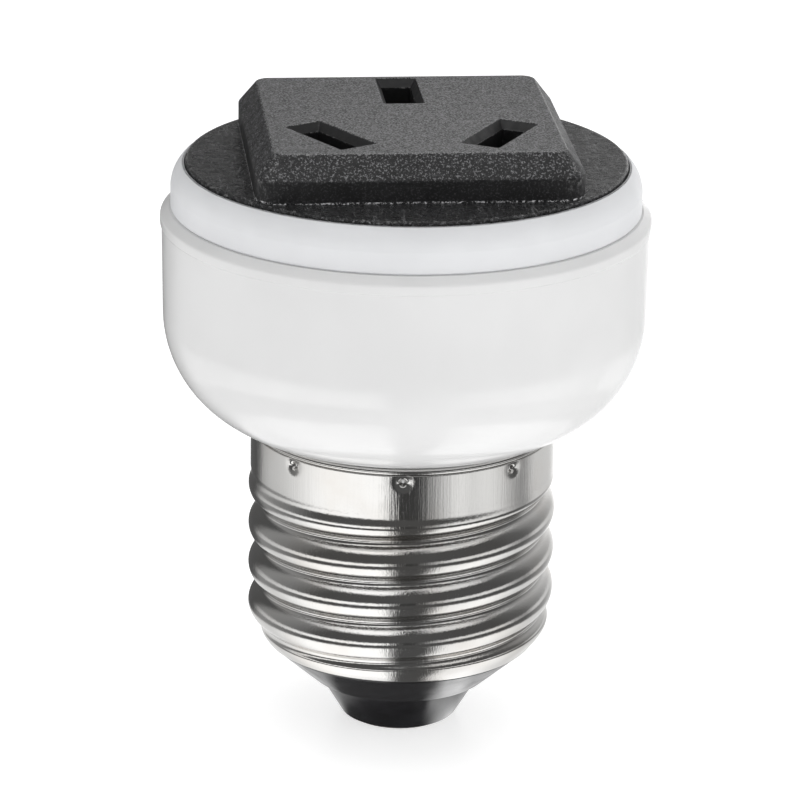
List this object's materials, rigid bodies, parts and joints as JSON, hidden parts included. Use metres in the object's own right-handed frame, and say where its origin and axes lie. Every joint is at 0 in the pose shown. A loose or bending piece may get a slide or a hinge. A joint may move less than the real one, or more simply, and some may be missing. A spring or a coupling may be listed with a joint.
{
  "type": "screw-in socket adapter",
  "caption": "Adapter that screws into an Edison lamp holder and gives a three-pin flat-blade mains socket on top of a round white bowl.",
  "frame": {"origin": "centre of the centre contact's lowest face, on the axis of the screw", "axes": "+Z along the screw's axis towards the socket's face, +Y towards the earth slot, +X towards the live slot"},
  "size_m": [0.0412, 0.0412, 0.0538],
  "materials": {
    "housing": "glossy white moulding",
    "collar": "satin white moulding",
    "socket_insert": "black moulding with a fine rough grain",
    "screw_shell": "bright nickel plate on pressed sheet",
    "base_insulator": "glossy black moulding",
    "centre_contact": "tinned, lightly worn",
    "live_contact": "rolled sheet",
    "neutral_contact": "rolled sheet",
    "earth_contact": "rolled sheet",
    "retainer_plate": "black moulding",
    "plate_screw_1": "zinc plated",
    "plate_screw_2": "zinc plated",
    "live_wire": "bare copper",
    "neutral_wire": "bare copper",
    "live_sleeve": "red insulation",
    "neutral_sleeve": "blue insulation",
    "live_solder": "soft solder",
    "neutral_solder": "soft solder",
    "centre_solder": "soft solder",
    "shell_solder": "soft solder"
  },
  "bodies": {
    "root": {"housing": "housing", "collar": "collar", "socket_insert": "socket_insert", "screw_shell": "screw_shell", "base_insulator": "base_insulator", "centre_contact": "centre_contact", "live_contact": "live_contact", "neutral_contact": "neutral_contact", "earth_contact": "earth_contact", "retainer_plate": "retainer_plate", "plate_screw_1": "plate_screw_1", "plate_screw_2": "plate_screw_2", "live_wire": "live_wire", "neutral_wire": "neutral_wire", "live_sleeve": "live_sleeve", "neutral_sleeve": "neutral_sleeve", "live_solder": "live_solder", "neutral_solder": "neutral_solder", "centre_solder": "centre_solder", "shell_solder": "shell_solder"}
  },
  "joints": []
}
